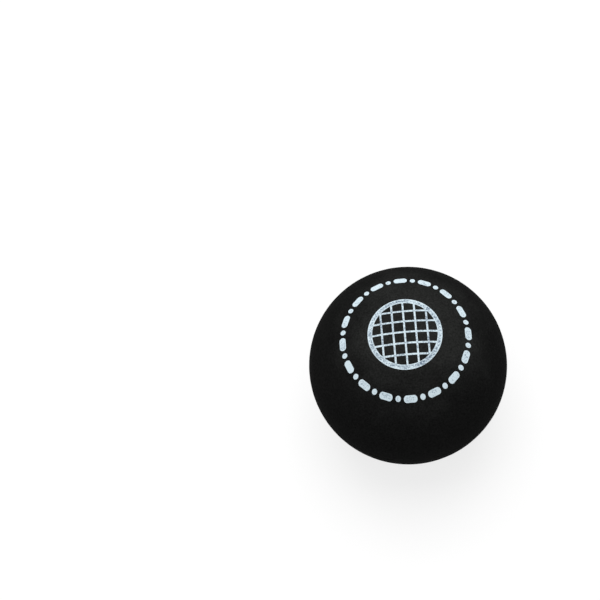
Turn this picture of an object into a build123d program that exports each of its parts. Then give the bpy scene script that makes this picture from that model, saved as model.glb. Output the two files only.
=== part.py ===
"""Hollow squash ball: moulded rubber half-shells, the cement that joins them, and the printed marks.

Millimetres. The origin is the ball's centre, the seam lies in the XY plane, and +Z runs through the
middle of the printed roundel. The speed dot is on the +Y side, below the seam.
"""

import os
from math import cos, radians, sin, sqrt

from build123d import *

# Ball: the standard diameter, and the wall that gives the standard weight in filled rubber
ball_diameter = 40.0
wall = 5.2

# Cement: the film between the ground rims, and the bead that it squeezes out into the air space
cement_film = 0.2
cement_bead = 1.2

# Print: the film's thickness, and its clearance from the rubber, which keeps the round faces of the two
# from crossing
print_film = 0.05
print_clearance = 0.02

# Border of the roundel: reels and beads in turn
border_diameter = 24.4
border_repeats = 16
reel_length = 2.6
reel_width = 1.2
bead_diameter = 1.0

# Badge in the middle of the roundel: a ring strung with a net, like a racket's strings
badge_diameter = 14.4
badge_ring = 0.9
string_width = 0.35
string_pitch = 2.2

# Speed dot, and the angle below the seam at which it is printed
dot_diameter = 4.0
dot_below_seam = 25.0

# Sizes that follow from those above
ball_radius = ball_diameter / 2
cavity_radius = ball_radius - wall
rim_height = cement_film / 2
print_inner_radius = ball_radius + print_clearance
print_outer_radius = print_inner_radius + print_film
border_radius = border_diameter / 2
badge_radius = badge_diameter / 2
string_end_radius = badge_radius - badge_ring / 2
strings = max(1, int((badge_diameter - 2 * badge_ring) / string_pitch))
dot_direction = (0, cos(radians(dot_below_seam)), -sin(radians(dot_below_seam)))

os.makedirs("parts", exist_ok=True)


# Half-shells: hollow hemispheres whose flat ground rims stop half a cement film short of the seam
with BuildPart() as upper_half_shell:
    Sphere(ball_radius)
    Sphere(cavity_radius, mode=Mode.SUBTRACT)
    split(bisect_by=Plane.XY.offset(rim_height), keep=Keep.TOP)

with BuildPart() as lower_half_shell:
    Sphere(ball_radius)
    Sphere(cavity_radius, mode=Mode.SUBTRACT)
    split(bisect_by=Plane.XY.offset(-rim_height), keep=Keep.BOTTOM)


# Cement: a flat ring across the wall, flush with the ball outside, with a round bead inside
with BuildPart() as squeezed_bead:
    Torus(cavity_radius, cement_bead / 2)
    Sphere(cavity_radius, mode=Mode.INTERSECT)

with BuildPart() as seam_cement:
    Sphere(ball_radius)
    Sphere(cavity_radius, mode=Mode.SUBTRACT)
    split(bisect_by=Plane.XY.offset(rim_height), keep=Keep.BOTTOM)
    split(bisect_by=Plane.XY.offset(-rim_height), keep=Keep.TOP)
    add(squeezed_bead.part)


# Skin that every print is cut from. Its own poles lie on Y, clear of the marks.
with BuildPart() as print_skin:
    Sphere(print_outer_radius, rotation=(90, 0, 0))
    Sphere(print_inner_radius, rotation=(90, 0, 0), mode=Mode.SUBTRACT)


# Border: the flat pattern is carried up to the rubber along Z, as a printing pad carries it
with BuildPart() as border_print:
    with BuildSketch():
        with PolarLocations(border_radius, border_repeats):
            SlotOverall(reel_length, reel_width, rotation=90)
        with PolarLocations(border_radius, border_repeats, start_angle=180 / border_repeats):
            Circle(bead_diameter / 2)
    extrude(amount=ball_diameter)
    add(print_skin.part, mode=Mode.INTERSECT)


# Badge: each string is as long as the chord on which it lies, and ends within the ring
with BuildPart() as badge_print:
    with BuildSketch():
        Circle(badge_radius)
        Circle(badge_radius - badge_ring, mode=Mode.SUBTRACT)
        for number in range(strings):
            offset = (number - (strings - 1) / 2) * string_pitch
            chord = 2 * sqrt(string_end_radius**2 - offset**2)
            with Locations((offset, 0)):
                Rectangle(string_width, chord)
            with Locations((0, offset)):
                Rectangle(chord, string_width)
    extrude(amount=ball_diameter)
    add(print_skin.part, mode=Mode.INTERSECT)


# Speed dot: one round spot, printed square to the rubber
with BuildPart() as speed_dot:
    with BuildSketch(Plane(origin=(0, 0, 0), z_dir=dot_direction)):
        Circle(dot_diameter / 2)
    extrude(amount=ball_diameter)
    add(print_skin.part, mode=Mode.INTERSECT)


pieces = {
    "upper_half_shell": upper_half_shell,
    "lower_half_shell": lower_half_shell,
    "seam_cement": seam_cement,
    "border_print": border_print,
    "badge_print": badge_print,
    "speed_dot": speed_dot,
}
for name, piece in pieces.items():
    piece.part.label = name
    export_step(piece.part, f"parts/{name}.step")
    print(f"{name}: {piece.part.volume:.1f} mm3")
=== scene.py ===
# %% [markdown]
# # A squash ball
# A squash ball is two moulded cups of black rubber, cemented rim to rim, buffed matt and printed. This
# lesson dresses a measured model of one. The model gives every size and place, and each step below gives
# a piece the shape or the finish that it has in the hand. First comes the camera, then the shapes of the
# rubber, the cement and the prints, then their finishes, and last the light.

# %% Load the measured model
from math import atan, cos, degrees, pi, radians, sin

import bmesh
import bpy
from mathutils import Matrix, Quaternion, Vector
from mathutils.kdtree import KDTree


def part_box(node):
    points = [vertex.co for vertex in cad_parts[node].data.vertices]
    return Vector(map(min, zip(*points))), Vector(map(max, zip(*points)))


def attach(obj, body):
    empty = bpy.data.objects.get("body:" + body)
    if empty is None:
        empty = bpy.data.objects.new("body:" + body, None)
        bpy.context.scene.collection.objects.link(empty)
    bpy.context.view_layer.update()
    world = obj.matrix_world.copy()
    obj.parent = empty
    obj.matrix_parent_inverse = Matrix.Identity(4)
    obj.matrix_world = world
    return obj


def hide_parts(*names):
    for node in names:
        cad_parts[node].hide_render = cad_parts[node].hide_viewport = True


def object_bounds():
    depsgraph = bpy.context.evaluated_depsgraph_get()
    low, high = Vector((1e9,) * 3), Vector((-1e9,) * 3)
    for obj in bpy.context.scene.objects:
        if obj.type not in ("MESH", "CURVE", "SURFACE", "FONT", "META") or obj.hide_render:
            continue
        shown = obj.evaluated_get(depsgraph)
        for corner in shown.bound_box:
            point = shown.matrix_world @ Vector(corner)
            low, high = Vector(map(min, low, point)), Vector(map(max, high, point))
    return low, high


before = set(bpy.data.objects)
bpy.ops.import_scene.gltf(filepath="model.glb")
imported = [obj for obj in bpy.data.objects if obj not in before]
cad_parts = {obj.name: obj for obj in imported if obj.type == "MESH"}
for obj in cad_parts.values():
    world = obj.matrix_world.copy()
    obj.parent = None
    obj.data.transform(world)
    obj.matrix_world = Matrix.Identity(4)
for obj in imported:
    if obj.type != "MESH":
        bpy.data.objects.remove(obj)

cad_low, cad_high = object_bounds()
mm = 0.001
print("model box in mm:", [round(side / mm, 2) for side in cad_high - cad_low])

# %% [markdown]
# The ball is round about the origin, so its sizes are distances from there. The farthest point of a
# half-shell gives the ball's radius, and the nearest gives the hollow's. The shell's lowest point is its
# rim, half a cement film above the seam. The model is in metres, so a length in millimetres is written
# below as a number times mm.

# %% Read the ball's sizes
shell_distances = [vertex.co.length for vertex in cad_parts["upper_half_shell"].data.vertices]
ball_radius = max(shell_distances)
cavity_radius = min(shell_distances)
rim_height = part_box("upper_half_shell")[0].z
print(f"radius {ball_radius / mm:.2f} mm, hollow's {cavity_radius / mm:.2f} mm")
print(f"rim {rim_height / mm:.2f} mm above the seam")

# %% [markdown]
# ## The camera
# The photograph is 600 pixels square, and the ball in it is a circle whose middle and radius can be read
# off. A long lens keeps that circle round. The print's axis leans back from the line of sight, and a
# little to the left, so the camera looks down at the ball from that angle and is rolled to match. Then it
# turns aside until the ball's middle falls on its own pixel. A lens shift could do that too, but turning
# leaves other views centred on the ball.

# %% Where the camera stands
image_side = 600
ball_pixel = (407.7, 365.4)
ball_pixel_radius = 98.7
axis_tilt = radians(18.75)
axis_lean = radians(5)
lens = 100
sensor = 36

focal_pixels = lens / sensor * image_side
distance = ball_radius / sin(atan(ball_pixel_radius / focal_pixels))
to_camera = Vector((0, -sin(axis_tilt), cos(axis_tilt)))
look_at_ball = (-to_camera).to_track_quat("-Z", "Y")
roll = Quaternion((0, 0, 1), -axis_lean)
ball_ray = Vector((ball_pixel[0] - image_side / 2, image_side / 2 - ball_pixel[1], -focal_pixels))
turn_aside = ball_ray.rotation_difference(Vector((0, 0, -1)))
camera_turn = look_at_ball @ roll @ turn_aside
print(f"camera {distance / mm:.0f} mm from the ball's middle")

# %% Add the camera
nearest_seen = distance / 10


def deselect_all():
    bpy.ops.object.select_all(action="DESELECT")


deselect_all()
bpy.ops.object.camera_add(location=to_camera * distance, rotation=camera_turn.to_euler())
camera = bpy.context.object
camera.data.lens = lens
camera.data.sensor_width = sensor
camera.data.clip_start = nearest_seen
bpy.context.scene.camera = camera
print("the ball's middle falls on pixel", ball_pixel)

# %% [markdown]
# ## The half-shells
# Each half is a hollow cup with a flat ground rim. A UV sphere would crowd its faces into a pole, right
# under the print. A cube with finely divided sides, blown up to a sphere by a Cast modifier, has even
# square faces all over, so the grain below comes out the same everywhere. The bisect tool then cuts the
# sphere open at the rim. Its tolerance is set far below its default, which suits rooms, not hairlines.
# The subdivide tool makes at most a hundred cuts at a time.

# %% Half-spheres from cubes
cut_tolerance = 1e-8


def edit_all():
    """Enters edit mode with all of the active piece selected."""
    bpy.ops.object.mode_set(mode="EDIT")
    bpy.ops.mesh.select_all(action="SELECT")


def half_sphere(name, radius, cells, side):
    """An open half-sphere of square faces, above the seam for side 1 and below it for side -1."""
    deselect_all()
    bpy.ops.mesh.primitive_cube_add(size=2 * radius)
    skin = bpy.context.object
    skin.name = name
    edit_all()
    bpy.ops.mesh.subdivide(number_cuts=cells - 1)
    bpy.ops.object.mode_set(mode="OBJECT")
    cast = skin.modifiers.new("blow up", "CAST")
    cast.factor = 1
    cast.use_radius_as_size = False
    cast.size = radius
    bpy.ops.object.modifier_apply(modifier=cast.name)
    edit_all()
    bpy.ops.mesh.bisect(
        plane_co=(0, 0, side * rim_height),
        plane_no=(0, 0, side),
        clear_inner=True,
        threshold=cut_tolerance,
    )
    bpy.ops.object.mode_set(mode="OBJECT")
    return skin


print(f"cut within {cut_tolerance / mm:.5f} mm of the rim")

# %% [markdown]
# Buffed rubber isn't smooth: it has a fine grain, like very fine sandpaper, over slow waves from the
# mould. Bump in a material would leave the outline perfectly round, so two Displace modifiers press both
# into the mesh. A mid level of 1 lets them push inwards only, and the ball never grows. A mesh can't hold
# a grain finer than about three of its faces, so this one is coarser than life, and the finest grain is
# left to the material.

# %% Grain pressed into the skin
grain_octaves = 2
grain_textures = []
for name, feature, depth in (
    ("buffing grain", 0.9 * mm, 0.030 * mm),
    ("moulding waves", 7 * mm, 0.040 * mm),
):
    texture = bpy.data.textures.new(name, "CLOUDS")
    texture.noise_scale = feature
    texture.noise_depth = grain_octaves
    grain_textures.append((texture, depth))
    print(f"{name}: {feature / mm:.1f} mm wide, {depth / mm:.3f} mm deep")


def press_grain(skin):
    for texture, depth in grain_textures:
        displace = skin.modifiers.new(texture.name, "DISPLACE")
        displace.texture = texture
        displace.texture_coords = "LOCAL"
        displace.mid_level = 1
        displace.strength = depth
        bpy.ops.object.modifier_apply(modifier=displace.name)


# %% [markdown]
# Where the two cups meet, the buffing wheel breaks the outer edge of each rim, and that leaves a hairline
# groove. A bevel would need more faces than so fine a line is worth, so the rim's outer ring of points is
# just drawn in by the groove's depth. Points are selected by a test of their place, as a box select would
# do by hand.

# %% Outside of a cup
outer_cells = 101
groove_depth = 0.07 * mm
rim_band = 1.01 * rim_height


def select_points(piece, wanted):
    """Selects, in edit mode, the points whose place passes the test."""
    edited = bmesh.from_edit_mesh(piece.data)
    for vertex in edited.verts:
        vertex.select_set(wanted(vertex.co))
    edited.select_flush_mode()
    bmesh.update_edit_mesh(piece.data)


def cup_outside(name, side):
    cup = half_sphere(name, ball_radius, outer_cells, side)
    press_grain(cup)
    bpy.ops.object.mode_set(mode="EDIT")
    select_points(cup, lambda place: abs(place.z) < rim_band)
    drawn_in = 1 - groove_depth / ball_radius
    bpy.ops.transform.resize(value=(drawn_in, drawn_in, 1), center_override=(0, 0, 0))
    bpy.ops.object.mode_set(mode="OBJECT")
    return cup


print(f"faces of the skin: about {ball_radius * pi / 2 / outer_cells / mm:.2f} mm")

# %% [markdown]
# The inside of a cup is as smooth as the mould's core, so a coarser half-sphere will do for it. Joined to
# the outside, it leaves two open edges, and a bridge between them makes the flat rim and closes the
# shell. The bridge tool takes the line from the middle of one edge to the middle of the other as the way
# through. Here both have the same middle, and the bridge could come out twisted. So the inside is held
# a little way out of the cup while it is bridged, and is then pushed home.

# %% Two closed cups
inner_cells = 42
sharp_angle = radians(40)
wall = ball_radius - cavity_radius
mid_wall = cavity_radius + wall / 2


def half_shell(name, side):
    shell = cup_outside(name, side)
    half_sphere(name + "_inside", cavity_radius, inner_cells, side)
    bpy.ops.transform.translate(value=(0, 0, -side * wall))
    shell.select_set(True)
    bpy.context.view_layer.objects.active = shell
    bpy.ops.object.join()
    bpy.ops.object.mode_set(mode="EDIT")
    bpy.ops.mesh.select_mode(type="EDGE")
    bpy.ops.mesh.select_all(action="DESELECT")
    bpy.ops.mesh.select_non_manifold(extend=False)
    bpy.ops.mesh.bridge_edge_loops()
    bpy.ops.mesh.select_mode(type="VERT")
    select_points(shell, lambda place: place.length < mid_wall)
    bpy.ops.transform.translate(value=(0, 0, side * wall))
    bpy.ops.mesh.select_all(action="SELECT")
    bpy.ops.mesh.normals_make_consistent(inside=False)
    bpy.ops.object.mode_set(mode="OBJECT")
    bpy.ops.object.shade_smooth_by_angle(angle=sharp_angle)
    print(name, len(shell.data.polygons), "faces")
    return shell


upper_shell = half_shell("upper_shell", 1)
lower_shell = half_shell("lower_shell", -1)

# %% [markdown]
# ## The cement
# The cement is a flat ring between the rims, with a round bead where it was squeezed out into the hollow.
# A ring and a torus could be joined by a Boolean, but a section spun round the ball gives cleaner faces.
# The section is drawn on the XZ plane: a disc for the bead, cut in half, with the middle of its flat side
# pulled out to the groove for the film. The lines inside it are dissolved, because each would leave a
# wall inside the ring, and a Screw modifier that doesn't rise turns the outline round the axis. The spin
# tool could do that too, but it lists the faces in another order each time it runs.

# %% Section of the cement
bead_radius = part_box("seam_cement")[1].z
bead_points = 24
film_reach = ball_radius - groove_depth - cavity_radius
weld_distance = 1e-7

deselect_all()
bpy.ops.mesh.primitive_circle_add(
    vertices=bead_points,
    radius=bead_radius,
    fill_type="NGON",
    location=(cavity_radius, 0, 0),
    rotation=(pi / 2, 0, 0),
)
cement = bpy.context.object
cement.name = "cement_ring"
bpy.ops.object.transform_apply(location=True, rotation=True, scale=True)
bpy.ops.object.mode_set(mode="EDIT")
for corner, direction, cut_off in (
    ((cavity_radius, 0, 0), (1, 0, 0), True),
    ((0, 0, rim_height), (0, 0, 1), False),
    ((0, 0, -rim_height), (0, 0, 1), False),
):
    bpy.ops.mesh.select_all(action="SELECT")
    bpy.ops.mesh.bisect(
        plane_co=corner,
        plane_no=direction,
        clear_outer=cut_off,
        use_fill=cut_off,
        threshold=cut_tolerance,
    )
select_points(cement, lambda place: place.x > cavity_radius - weld_distance and abs(place.z) < rim_band)
bpy.ops.mesh.extrude_edges_move(TRANSFORM_OT_translate={"value": (film_reach, 0, 0)})
print(f"cement: film {film_reach / mm:.2f} mm wide, bead {2 * bead_radius / mm:.2f} mm high")

# %% Spin it round the ball
spin_steps = 360

bpy.ops.mesh.select_all(action="SELECT")
bpy.ops.mesh.dissolve_faces()
bpy.ops.object.mode_set(mode="OBJECT")
screw = cement.modifiers.new("spin", "SCREW")
screw.axis = "Z"
screw.angle = 2 * pi
screw.steps = spin_steps
bpy.ops.object.modifier_apply(modifier=screw.name)
edit_all()
bpy.ops.mesh.normals_make_consistent(inside=False)
bpy.ops.object.mode_set(mode="OBJECT")
bpy.ops.object.shade_smooth_by_angle(angle=sharp_angle)
print("cement", len(cement.data.polygons), "faces")

# %% [markdown]
# ## The prints
# A soft pad lays the ink on the rough rubber, so a print has the rubber's own grain. Each film therefore
# starts as a copy of the rubber's faces, thickened a little. The measured print is then used like a
# pastry cutter: its inner and outer faces are moved apart along the ball's radius until it reaches right
# through the film.

# %% Pastry cutter from a measured print
cutter_growth = 0.02


def pick(piece):
    """Makes a piece the active one, and the only one selected."""
    deselect_all()
    piece.select_set(True)
    bpy.context.view_layer.objects.active = piece


def print_cutter(node):
    cutter = bpy.data.objects.new("cutter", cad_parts[node].data.copy())
    bpy.context.scene.collection.objects.link(cutter)
    pick(cutter)
    edit_all()
    bpy.ops.mesh.remove_doubles(threshold=weld_distance)
    distances = [vertex.co.length for vertex in bmesh.from_edit_mesh(cutter.data).verts]
    middle = (min(distances) + max(distances)) / 2
    for outer in (True, False):
        select_points(cutter, lambda place: (place.length > middle) == outer)
        size = 1 + cutter_growth if outer else 1 - cutter_growth
        bpy.ops.transform.resize(value=(size, size, size), center_override=(0, 0, 0))
    bpy.ops.object.mode_set(mode="OBJECT")
    return cutter


print(f"cutters reach {cutter_growth * ball_radius / mm:.1f} mm past the print on either side")

# %% [markdown]
# Only the rubber's faces near the print are copied, with a margin all round, so that the film's own rim
# stays outside the cutter.

# %% Skin under a print
skin_margin = 0.6 * mm


def skin_under(name, shell, node):
    low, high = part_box(node)
    margin = Vector((skin_margin, skin_margin, skin_margin))
    low, high = low - margin, high + margin
    pick(shell)
    bpy.ops.object.duplicate()
    skin = bpy.context.object
    skin.name = name
    bpy.ops.object.mode_set(mode="EDIT")
    select_points(
        skin,
        lambda place: place.length > mid_wall
        and all(low[axis] < place[axis] < high[axis] for axis in range(3)),
    )
    bpy.ops.mesh.select_all(action="INVERT")
    bpy.ops.mesh.delete(type="VERT")
    bpy.ops.object.mode_set(mode="OBJECT")
    return skin


print(f"margin of {skin_margin / mm:.1f} mm")

# %% [markdown]
# Solidify gives the copied skin the thickness of the ink, and a Boolean modifier keeps what the film and
# the cutter have in common. Where an edge of the cutter just misses a corner of the skin, that leaves a
# sliver, and where it crosses a face from corner to corner, a stray point between two edges. Both are
# dissolved.

# %% Film of ink
ink_film = 0.05 * mm
sliver_width = 0.001 * mm


def printed_film(name, shell, node):
    film = skin_under(name, shell, node)
    solidify = film.modifiers.new("ink", "SOLIDIFY")
    solidify.thickness = ink_film
    solidify.offset = 1
    bpy.ops.object.modifier_apply(modifier=solidify.name)
    cutter = print_cutter(node)
    pick(film)
    cut = film.modifiers.new("cut out", "BOOLEAN")
    cut.operation = "INTERSECT"
    cut.solver = "EXACT"
    cut.object = cutter
    bpy.ops.object.modifier_apply(modifier=cut.name)
    bpy.data.objects.remove(cutter)
    edit_all()
    bpy.ops.mesh.dissolve_degenerate(threshold=sliver_width)
    bpy.ops.mesh.select_by_pole_count(pole_count=2, type="EQUAL")
    bpy.ops.mesh.dissolve_verts()
    bpy.ops.object.mode_set(mode="OBJECT")
    bpy.ops.object.shade_smooth_by_angle(angle=sharp_angle)
    print(name, len(film.data.polygons), "faces")
    return film


print(f"ink {ink_film / mm:.2f} mm thick")

# %% [markdown]
# The pad squeezes ink out to the edges of a mark, so the edges are bright and the middle is thin. To
# paint that, the ink has to know how far each point is from its mark's edge. The edges are the only sharp
# ones on a film, so they are easily selected, and the distance to the nearest of their points is kept as
# an attribute of the mesh.

# %% How deep each point lies in its mark
def measure_depth(film):
    pick(film)
    bpy.ops.object.mode_set(mode="EDIT")
    bpy.ops.mesh.select_mode(type="EDGE")
    bpy.ops.mesh.select_all(action="DESELECT")
    bpy.ops.mesh.edges_select_sharp(sharpness=sharp_angle)
    bpy.ops.mesh.select_mode(type="VERT")
    bpy.ops.object.mode_set(mode="OBJECT")
    edge_points = [vertex.co for vertex in film.data.vertices if vertex.select]
    nearest = KDTree(len(edge_points))
    for number, place in enumerate(edge_points):
        nearest.insert(place, number)
    nearest.balance()
    depths = [nearest.find(vertex.co)[2] for vertex in film.data.vertices]
    film.data.attributes.new("depth_in_mark", "FLOAT", "POINT").data.foreach_set("value", depths)
    print(f"{film.name}: marks up to {2 * max(depths) / mm:.2f} mm wide")


print(f"edges of marks: sharper than {degrees(sharp_angle):.0f} degrees")

# %% Print the ball
border_ink = printed_film("border_ink", upper_shell, "border_print")
badge_ink = printed_film("badge_ink", upper_shell, "badge_print")
dot_ink = printed_film("dot_ink", lower_shell, "speed_dot")
for film in (border_ink, badge_ink, dot_ink):
    measure_depth(film)

# %% [markdown]
# ## Materials
# Every colour is written as the sRGB hex value that a colour picker shows, and one function turns it into
# the linear numbers that shaders work in. One more function adds a shader node. It finds sockets by their
# identifier, because some nodes have several sockets of one name.

# %% Colour and node helpers
def colour(hex_value):
    channels = [int(hex_value[start:start + 2], 16) / 255 for start in (1, 3, 5)]
    linear = [c / 12.92 if c <= 0.04045 else ((c + 0.055) / 1.055) ** 2.4 for c in channels]
    return (*linear, 1)


def add_node(tree, kind, output, inputs, **settings):
    """Adds a node and returns one of its outputs. Inputs are values, or other nodes' outputs to link."""
    node = tree.nodes.new("ShaderNode" + kind)
    for setting, value in settings.items():
        setattr(node, setting, value)
    sockets = {socket.identifier: socket for socket in node.inputs}
    for name, value in inputs.items():
        if isinstance(value, bpy.types.NodeSocket):
            tree.links.new(value, sockets[name])
        else:
            sockets[name].default_value = value
    return {socket.identifier: socket for socket in node.outputs}.get(output)


def new_material(name):
    material = bpy.data.materials.new(name)
    material.use_nodes = True
    material.node_tree.nodes.clear()
    return material, material.node_tree


print(f"#808080 is {colour('#808080')[0]:.3f} in linear numbers")

# %% [markdown]
# ### Buffed rubber
# The rubber is filled with carbon black, moulded, and then tumbled and buffed until no shine is left, so
# to the eye it is a deep matt black. Wax and mould powder stay on it as a faint grey bloom, in soft
# clouds. Over the top of the ball, round the print and towards the softbox, a broad paler patch is
# painted
# sheen: the shader hardly mirrors the softbox, so its soft shine is painted into the tone there, and the
# clouds are strongest on that patch. Noise gives the clouds, and a shift picks the stretch of it that
# suits this ball.

# %% Clouds of bloom
cloud_size = 7 * mm
cloud_shift = (-51 * mm, 53 * mm, 16 * mm)


def bloom_clouds(tree, place):
    shifted = add_node(tree, "VectorMath", "Vector", {
        "Vector": place, "Vector_001": cloud_shift,
    }, operation="ADD")
    return add_node(tree, "TexNoise", "Fac", {
        "Vector": shifted, "Scale": 1 / cloud_size, "Detail": 3, "Roughness": 0.5,
    })


print(f"clouds of {cloud_size / mm:.0f} mm")

# %% [markdown]
# The distance from the middle of the patch fades its painted sheen and the clouds out, down to a trace on
# the far side of the ball. The same noise makes the edge of the patch ragged.

# %% The patch of painted sheen
# The patch of painted sheen lies on the top of the ball, towards the softbox.
sheen_middle = (1.8 * mm, 2 * mm, ball_radius)
sheen_reach = (7 * mm, 20 * mm)
sheen_raggedness = 12 * mm
trace_of_bloom_and_sheen = 0.1


def sheen_patch(tree, place, clouds):
    """1 in the middle of the patch, falling to a trace outside it."""
    from_middle = add_node(tree, "VectorMath", "Value", {
        "Vector": place, "Vector_001": sheen_middle,
    }, operation="DISTANCE")
    ragged = add_node(tree, "Math", "Value", {
        "Value": clouds, "Value_001": -sheen_raggedness, "Value_002": from_middle,
    }, operation="MULTIPLY_ADD")
    inner, outer = (reach - sheen_raggedness / 2 for reach in sheen_reach)
    return add_node(tree, "MapRange", "Result", {
        "Value": ragged,
        "From Min": inner, "From Max": outer,
        "To Min": 1, "To Max": trace_of_bloom_and_sheen,
    }, interpolation_type="SMOOTHSTEP")


print(f"wiped patch: {sheen_reach[0] / mm:.0f} to {sheen_reach[1] / mm:.0f} mm from its middle")

# %% [markdown]
# The tone runs from bare rubber to full bloom with painted sheen. The painted sheen and the clouds on the
# patch make most of it, and a fine mottling all over the ball the rest. A noise keeps near its middle, so
# only that span of it is used.

# %% The rubber's tone
bare_rubber = colour("#101010")
# The pale end of the tone is bloom and painted sheen.
full_bloom_and_sheen = colour("#303130")
cloud_span = (0.3, 0.7)
# On the patch, the clouds are raised onto painted sheen as well as bloom.
cloud_bloom_and_sheen = (0.4, 0.64)
mottle_size = 1.6 * mm
mottle_bloom = (0.05, 0.15)


def rubber_tone(tree, place):
    clouds = bloom_clouds(tree, place)
    sheened = sheen_patch(tree, place, clouds)
    cloudy = add_node(tree, "MapRange", "Result", {
        "Value": clouds,
        "From Min": cloud_span[0], "From Max": cloud_span[1],
        "To Min": cloud_bloom_and_sheen[0], "To Max": cloud_bloom_and_sheen[1],
    })
    mottle = add_node(tree, "TexNoise", "Fac", {"Vector": place, "Scale": 1 / mottle_size, "Detail": 2})
    mottled = add_node(tree, "MapRange", "Result", {
        "Value": mottle, "To Min": mottle_bloom[0], "To Max": mottle_bloom[1],
    })
    # Painted sheen on the patch, with its clouds of bloom, plus the fine mottling all over.
    bloom_and_sheen = add_node(tree, "Math", "Value", {
        "Value": sheened, "Value_001": cloudy, "Value_002": mottled,
    }, operation="MULTIPLY_ADD")
    return add_node(tree, "Mix", "Result_Color", {
        "Factor_Float": bloom_and_sheen, "A_Color": bare_rubber, "B_Color": full_bloom_and_sheen,
    }, data_type="RGBA")


print(f"mottling of {mottle_size / mm:.1f} mm")

# %% [markdown]
# The buffing leaves a grain, and the tone is painted darker in its pits and paler on its tops, as painted
# shade and light. Near the seam, the wheel that took off the flash ran round the ball, and its fine lines
# take the place of most of the grain. Noise that is stretched round the ball and packed close along its
# axis gives such lines. The real grain is about 0.1 mm wide and the real lines 0.05 mm, which is less
# than a pixel, so both are drawn some three times as coarse to show at all.

# %% The rubber's relief
grain_size = 0.35 * mm
line_spacing = 0.16 * mm
line_length = 9 * mm
line_share = 0.7
buffed_band = (1.2 * mm, 3.0 * mm)


def rubber_relief(tree, place):
    grain = add_node(tree, "TexNoise", "Fac", {
        "Vector": place, "Scale": 1 / grain_size, "Detail": 3, "Roughness": 0.6,
    })
    line_scale = (1 / line_length, 1 / line_length, 1 / line_spacing)
    stretched = add_node(tree, "Mapping", "Vector", {"Vector": place, "Scale": line_scale})
    lines = add_node(tree, "TexNoise", "Fac", {"Vector": stretched, "Scale": 1, "Detail": 2})
    height = add_node(tree, "SeparateXYZ", "Z", {"Vector": place})
    from_seam = add_node(tree, "Math", "Value", {"Value": height}, operation="ABSOLUTE")
    near_seam = add_node(tree, "MapRange", "Result", {
        "Value": from_seam,
        "From Min": buffed_band[0], "From Max": buffed_band[1],
        "To Min": line_share, "To Max": 0,
    }, interpolation_type="SMOOTHSTEP")
    return add_node(tree, "Mix", "Result_Float", {
        "Factor_Float": near_seam, "A_Float": grain, "B_Float": lines,
    }, data_type="FLOAT")


print(f"grain of {grain_size / mm:.2f} mm, lines {line_spacing / mm:.2f} mm apart")

# %% [markdown]
# The tone is multiplied by the relief, which paints shade into the pits of the grain and light onto its
# tops, as strong on the dark side of the ball as on the pale one. Rubber has an IOR of about 1.52.
# Buffed, it scatters almost all the light that it doesn't swallow, so it is very rough, though less so on
# the tops of the grain than in the pits. A shader still mirrors a white studio along a round edge, where
# the grain of real rubber traps the light, so the gloss is turned down to next to nothing, and the
# softbox's sheen on the top is painted into the tone instead.

# %% Rubber material
relief_depth = 0.05 * mm
tone_span = (0.25, 0.75)
pit_shade_to_top_light = (0.5, 1.5)
roughness_span = (0.3, 0.7)
pit_to_top_roughness = (0.96, 0.84)
rubber_ior = 1.52
rubber_gloss = 0.01


def buffed_rubber():
    material, tree = new_material("buffed_carbon_black_rubber")
    place = add_node(tree, "TexCoord", "Object", {})
    relief = rubber_relief(tree, place)
    # Painted shade in the grain's pits and painted light on its tops.
    pit_shade_and_top_light = add_node(tree, "MapRange", "Result", {
        "Value": relief,
        "From Min": tone_span[0], "From Max": tone_span[1],
        "To Min": pit_shade_to_top_light[0], "To Max": pit_shade_to_top_light[1],
    })
    tone = rubber_tone(tree, place)
    grain_shaded_tone = add_node(tree, "VectorMath", "Vector", {
        "Vector": tone, "Scale": pit_shade_and_top_light,
    }, operation="SCALE")
    roughness = add_node(tree, "MapRange", "Result", {
        "Value": relief,
        "From Min": roughness_span[0], "From Max": roughness_span[1],
        "To Min": pit_to_top_roughness[0], "To Max": pit_to_top_roughness[1],
    })
    bump = add_node(tree, "Bump", "Normal", {"Height": relief, "Strength": 1, "Distance": relief_depth})
    rubber = add_node(tree, "BsdfPrincipled", "BSDF", {
        "Base Color": grain_shaded_tone,
        "Roughness": roughness,
        "IOR": rubber_ior,
        "Specular IOR Level": rubber_gloss,
        "Normal": bump,
    })
    add_node(tree, "OutputMaterial", None, {"Surface": rubber})
    print(material.name, len(tree.nodes), "nodes")
    return material


rubber_material = buffed_rubber()

# %% [markdown]
# ### Rubber cement
# The cement dries from a solution to a brownish black skin, a little rippled, that gathers dust in the
# groove. Only a hairline of it shows. It gets ripples of about half a millimetre, is darker than fresh
# cement would be, and is as dull as the rubber, from which it was made.

# %% Cement material
ripple_size = 0.6 * mm
ripple_depth = 0.03 * mm
deep_cement = colour("#080807")
dusty_cement = colour("#151412")
cement_roughness = (0.9, 0.7)


def dried_cement():
    material, tree = new_material("air_dried_rubber_cement")
    place = add_node(tree, "TexCoord", "Object", {})
    ripples = add_node(tree, "TexNoise", "Fac", {"Vector": place, "Scale": 1 / ripple_size, "Detail": 3})
    tone = add_node(tree, "Mix", "Result_Color", {
        "Factor_Float": ripples, "A_Color": deep_cement, "B_Color": dusty_cement,
    }, data_type="RGBA")
    roughness = add_node(tree, "MapRange", "Result", {
        "Value": ripples, "To Min": cement_roughness[0], "To Max": cement_roughness[1],
    })
    bump = add_node(tree, "Bump", "Normal", {"Height": ripples, "Strength": 1, "Distance": ripple_depth})
    skin = add_node(tree, "BsdfPrincipled", "BSDF", {
        "Base Color": tone,
        "Roughness": roughness,
        "IOR": rubber_ior,
        "Specular IOR Level": rubber_gloss,
        "Normal": bump,
    })
    add_node(tree, "OutputMaterial", None, {"Surface": skin})
    print(material.name, len(tree.nodes), "nodes")
    return material


cement_material = dried_cement()

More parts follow.
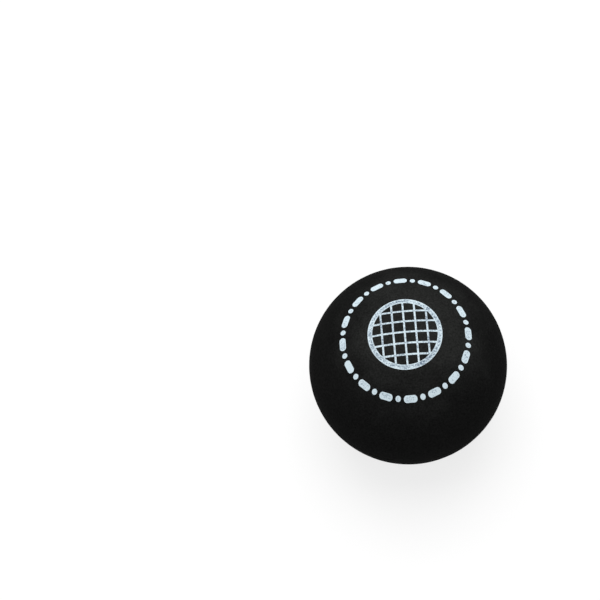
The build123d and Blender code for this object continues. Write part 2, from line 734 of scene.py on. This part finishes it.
# %% [markdown]
# ### Pad-printed ink
# The ink is a thin matt paint, silvery white for the roundel and yellow for the dot. Along the edges of a
# mark it is thick and bright. Inside, the film is thin over the rubber's grain, so it looks darker there,
# with specks where the pad missed the pits, and thin white over black has a blue cast. The pad presses
# hardest in the middle of the roundel, and squeezes the ink thinnest there. Two noises, the depth in the
# mark and the distance from the middle of the roundel add up to the thickness of the film.

# %% Thickness of the ink
speck_size = 0.3 * mm
patch_size = 2.5 * mm
patch_share = 0.5
bright_edge = (0.05 * mm, 0.3 * mm)
edge_ink = 0.18
print_middle = (0, 0, ball_radius)
pressed_reach = (5 * mm, 10 * mm)
pressed_ink = (-0.12, 0.14)


def ink_thickness(tree):
    place = add_node(tree, "TexCoord", "Object", {})
    specks = add_node(tree, "TexNoise", "Fac", {
        "Vector": place, "Scale": 1 / speck_size, "Detail": 2, "Roughness": 0.4,
    })
    patches = add_node(tree, "TexNoise", "Fac", {"Vector": place, "Scale": 1 / patch_size, "Detail": 1})
    depth = add_node(tree, "Attribute", "Fac", {}, attribute_name="depth_in_mark")
    edge = add_node(tree, "MapRange", "Result", {
        "Value": depth,
        "From Min": bright_edge[0], "From Max": bright_edge[1],
        "To Min": edge_ink, "To Max": 0,
    }, interpolation_type="SMOOTHSTEP")
    from_middle = add_node(tree, "VectorMath", "Value", {
        "Vector": place, "Vector_001": print_middle,
    }, operation="DISTANCE")
    pressed = add_node(tree, "MapRange", "Result", {
        "Value": from_middle,
        "From Min": pressed_reach[0], "From Max": pressed_reach[1],
        "To Min": pressed_ink[0], "To Max": pressed_ink[1],
    })
    thickness = specks
    for layer, share in ((patches, patch_share), (edge, 1), (pressed, 1)):
        thickness = add_node(tree, "Math", "Value", {
            "Value": layer, "Value_001": share, "Value_002": thickness,
        }, operation="MULTIPLY_ADD")
    return thickness


print(f"specks of {speck_size / mm:.2f} mm, in patches of {patch_size / mm:.1f} mm")

# %% [markdown]
# The thickness then mixes two colours, full ink and thin ink. The binder of such a paint has an IOR of
# about 1.5, and its pigment leaves it matt, with a trace of sheen. Thin ink is the rougher, because it
# follows the rubber's grain.

# %% Two inks
covering_ink = (0.44, 0.89)
ink_roughness = (0.55, 0.8)
ink_relief = 0.03 * mm
ink_ior = 1.5
ink_gloss = 0.2


def pad_ink(name, full_colour, thin_colour):
    material, tree = new_material(name)
    thickness = ink_thickness(tree)
    thin = add_node(tree, "MapRange", "Result", {
        "Value": thickness,
        "From Min": covering_ink[0], "From Max": covering_ink[1],
        "To Min": 1, "To Max": 0,
    })
    tone = add_node(tree, "Mix", "Result_Color", {
        "Factor_Float": thin, "A_Color": colour(full_colour), "B_Color": colour(thin_colour),
    }, data_type="RGBA")
    roughness = add_node(tree, "MapRange", "Result", {
        "Value": thin, "To Min": ink_roughness[0], "To Max": ink_roughness[1],
    })
    bump = add_node(tree, "Bump", "Normal", {"Height": thickness, "Strength": 1, "Distance": ink_relief})
    ink = add_node(tree, "BsdfPrincipled", "BSDF", {
        "Base Color": tone,
        "Roughness": roughness,
        "IOR": ink_ior,
        "Specular IOR Level": ink_gloss,
        "Normal": bump,
    })
    add_node(tree, "OutputMaterial", None, {"Surface": ink})
    print(material.name, len(tree.nodes), "nodes")
    return material


silver_ink = pad_ink("pad_printed_silver_white_ink", "#E4F6FF", "#465C78")
yellow_ink = pad_ink("pad_printed_yellow_ink", "#F5CB22", "#8E7620")

# %% [markdown]
# ## Fitting the pieces
# Each piece takes its finish, stands for the measured piece that it covers, and moves with the ball. A
# squash ball has no joints, so all of them ride on the one body, the root.

# %% Finish and fit
for piece, node, slot, material in (
    (upper_shell, "upper_half_shell", "rubber", rubber_material),
    (lower_shell, "lower_half_shell", "rubber", rubber_material),
    (cement, "seam_cement", "cement", cement_material),
    (border_ink, "border_print", "pale_print", silver_ink),
    (badge_ink, "badge_print", "pale_print", silver_ink),
    (dot_ink, "speed_dot", "dot_print", yellow_ink),
):
    piece.data.materials.clear()
    piece.data.materials.append(material)
    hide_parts(node)
    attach(piece, "root")
    print(piece.name, "stands for", node)

# %% [markdown]
# ## Floor and light
# The ball lies on a sheet of paper that reads as pure white. More light would do that, but it would
# bleach the ball as well. So the paper glows a little by itself, for the rays that the eye sees and for
# no others. The rest of its brightness is plain paper under the lamp, and there the ball's soft shadow
# falls.

# %% Rays that the eye sees
seen_kinds = ("Is Camera Ray", "Is Glossy Ray", "Is Transmission Ray")


def seen_ray(tree):
    """1 for rays that show a surface to the eye, straight or through gloss or glass, and 0 for others."""
    seen = 0
    for kind in seen_kinds:
        rays = add_node(tree, "LightPath", kind, {})
        seen = add_node(tree, "Math", "Value", {"Value": seen, "Value_001": rays}, operation="MAXIMUM")
    return seen


print("seen:", ", ".join(seen_kinds))

# %% Floor
floor_side = 12
lit_paper = colour("#C4C4C4")
seen_paper = colour("#969696")
white = colour("#FFFFFF")
paper_glow = 0.75

deselect_all()
bpy.ops.mesh.primitive_plane_add(size=floor_side, location=(0, 0, cad_low.z))
floor = bpy.context.object
floor.name = "floor"
floor_material, tree = new_material("white_paper")
seen = seen_ray(tree)
tone = add_node(tree, "Mix", "Result_Color", {
    "Factor_Float": seen, "A_Color": lit_paper, "B_Color": seen_paper,
}, data_type="RGBA")
glow = add_node(tree, "Math", "Value", {"Value": seen, "Value_001": paper_glow}, operation="MULTIPLY")
paper = add_node(tree, "BsdfPrincipled", "BSDF", {
    "Base Color": tone,
    "Roughness": 1,
    "Specular IOR Level": 0,
    "Emission Color": white,
    "Emission Strength": glow,
})
add_node(tree, "OutputMaterial", None, {"Surface": paper})
floor.data.materials.append(floor_material)
print(f"floor at {cad_low.z / mm:.2f} mm")

# %% [markdown]
# The world is a white studio: white to the eye, and a soft even fill for the ball. Together with the lamp
# it adds up to a plain level, at which a colour renders about as it is written.

# %% World
fill_light = 0.45

world = bpy.data.worlds.new("studio")
bpy.context.scene.world = world
world.use_nodes = True
tree = world.node_tree
tree.nodes.clear()
seen = seen_ray(tree)
strength = add_node(tree, "MapRange", "Result", {"Value": seen, "To Min": fill_light, "To Max": 1})
sky = add_node(tree, "Background", "Background", {"Color": white, "Strength": strength})
add_node(tree, "OutputWorld", None, {"Surface": sky})
print("fill light", fill_light)

# %% [markdown]
# One large softbox hangs over the ball and a little behind it, so the ball is palest towards the top of
# the picture and falls off to black at the bottom. A lamp of that power and distance lights a white card
# that faces it to the level given.

# %% Softbox
key_level = 0.65
key_distance = 2
key_elevation = radians(70)
key_side = 1.6

key_place = Vector((0, cos(key_elevation), sin(key_elevation))) * key_distance
key_turn = (-key_place).to_track_quat("-Z", "Y")
deselect_all()
bpy.ops.object.light_add(type="AREA", location=key_place, rotation=key_turn.to_euler())
key = bpy.context.object
key.name = "softbox"
key.data.shape = "SQUARE"
key.data.size = key_side
key.data.energy = key_level * pi**2 * key_distance**2
print(f"softbox of {key.data.energy:.1f} W")

# %% [markdown]
# ## Last look
# The Standard view keeps colours as they were written.

# %% Colour view
bpy.context.scene.view_settings.view_transform = "Standard"
